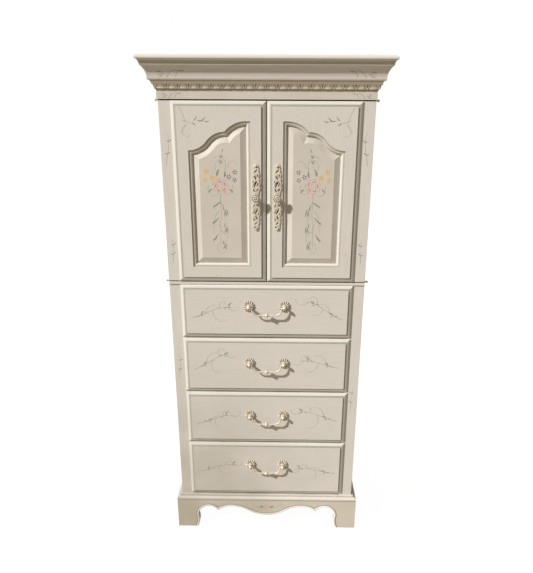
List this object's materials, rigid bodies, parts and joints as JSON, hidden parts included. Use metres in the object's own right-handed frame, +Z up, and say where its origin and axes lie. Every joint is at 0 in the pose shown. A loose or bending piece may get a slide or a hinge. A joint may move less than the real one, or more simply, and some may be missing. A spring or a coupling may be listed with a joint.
{
  "type": "armoire",
  "caption": "Tall painted armoire with a stepped cornice, arched-panel doors over graduated lipped drawers with bail pulls, and a scalloped bracket base.",
  "frame": {"origin": "centre of the overall footprint, on the floor under the feet", "axes": "+Z up, the doors and drawers face -Y, +X to the right of a person looking at the front"},
  "size_m": [0.818, 0.5146, 1.8436],
  "materials": {
    "ivory_paint": "ivory paint with tan glaze in the mouldings, satin",
    "inside_wood": "cream wash over veneer, matt",
    "plain_wood": "unpainted hardwood, clear sealed",
    "ivory_metal": "cast, ivory antiqued with brown glaze",
    "hinge_brass": "aged brass",
    "steel": "zinc plated",
    "catch_plastic": "moulded catch body"
  },
  "bodies": {
    "case": {"left_side": "ivory_paint", "right_side": "ivory_paint", "back_panel": "inside_wood", "top_panel": "inside_wood", "cabinet_floor": "inside_wood", "shelf": "inside_wood", "shelf_pins": "steel", "face_stile_left": "ivory_paint", "face_stile_right": "ivory_paint", "top_rail": "ivory_paint", "dust_frame_1": "ivory_paint", "dust_frame_2": "ivory_paint", "dust_frame_3": "ivory_paint", "dust_frame_4": "ivory_paint", "drawer_guides": "plain_wood", "frieze": "ivory_paint", "cornice_back": "inside_wood", "carved_moulding": "ivory_paint", "crown_moulding": "ivory_paint", "cornice_cap": "ivory_paint", "base_front": "ivory_paint", "base_left": "ivory_paint", "base_right": "ivory_paint", "base_back": "plain_wood", "base_moulding": "ivory_paint", "corner_blocks": "plain_wood", "case_hinge_leaves": "hinge_brass", "door_catches": "catch_plastic"},
    "left_door": {"left_door_post": "ivory_paint", "left_door_frame": "ivory_paint", "left_door_panel_moulding": "ivory_paint", "left_door_panel": "ivory_paint", "left_door_pull_plate": "ivory_metal", "left_door_knob": "ivory_metal", "left_door_hinge_leaves": "hinge_brass", "left_door_strike": "steel"},
    "right_door": {"right_door_post": "ivory_paint", "right_door_frame": "ivory_paint", "right_door_panel_moulding": "ivory_paint", "right_door_panel": "ivory_paint", "right_door_pull_plate": "ivory_metal", "right_door_knob": "ivory_metal", "right_door_hinge_leaves": "hinge_brass", "right_door_strike": "steel"},
    "drawer_1": {"drawer_1_front": "ivory_paint", "drawer_1_box": "plain_wood", "drawer_1_pull_posts": "ivory_metal"},
    "bail_1": {"drawer_1_bail": "ivory_metal"},
    "drawer_2": {"drawer_2_front": "ivory_paint", "drawer_2_box": "plain_wood", "drawer_2_pull_posts": "ivory_metal"},
    "bail_2": {"drawer_2_bail": "ivory_metal"},
    "drawer_3": {"drawer_3_front": "ivory_paint", "drawer_3_box": "plain_wood", "drawer_3_pull_posts": "ivory_metal"},
    "bail_3": {"drawer_3_bail": "ivory_metal"},
    "drawer_4": {"drawer_4_front": "ivory_paint", "drawer_4_box": "plain_wood", "drawer_4_pull_posts": "ivory_metal"},
    "bail_4": {"drawer_4_bail": "ivory_metal"}
  },
  "joints": [
    {"name": "left_door_hinge", "type": "hinge", "parent": "case", "child": "left_door", "pos_m": [-0.3635, -0.19375, 1.4038], "axis": [0, 0, -1], "range_deg": [0, 180]},
    {"name": "right_door_hinge", "type": "hinge", "parent": "case", "child": "right_door", "pos_m": [0.3635, -0.19375, 1.4038], "axis": [0, 0, 1], "range_deg": [0, 180]},
    {"name": "drawer_1_slide", "type": "slide", "parent": "case", "child": "drawer_1", "axis": [0, -1, 0], "range_m": [0, 0.3]},
    {"name": "drawer_2_slide", "type": "slide", "parent": "case", "child": "drawer_2", "axis": [0, -1, 0], "range_m": [0, 0.3]},
    {"name": "drawer_3_slide", "type": "slide", "parent": "case", "child": "drawer_3", "axis": [0, -1, 0], "range_m": [0, 0.3]},
    {"name": "drawer_4_slide", "type": "slide", "parent": "case", "child": "drawer_4", "axis": [0, -1, 0], "range_m": [0, 0.3]},
    {"name": "bail_1_hinge", "type": "hinge", "parent": "drawer_1", "child": "bail_1", "pos_m": [0, -0.23205, 1.0025], "axis": [-1, 0, 0], "range_deg": [-15, 90]},
    {"name": "bail_2_hinge", "type": "hinge", "parent": "drawer_2", "child": "bail_2", "pos_m": [0, -0.23205, 0.7725], "axis": [-1, 0, 0], "range_deg": [-15, 90]},
    {"name": "bail_3_hinge", "type": "hinge", "parent": "drawer_3", "child": "bail_3", "pos_m": [0, -0.23205, 0.5435], "axis": [-1, 0, 0], "range_deg": [-15, 90]},
    {"name": "bail_4_hinge", "type": "hinge", "parent": "drawer_4", "child": "bail_4", "pos_m": [0, -0.23205, 0.31275], "axis": [-1, 0, 0], "range_deg": [-15, 90]}
  ]
}
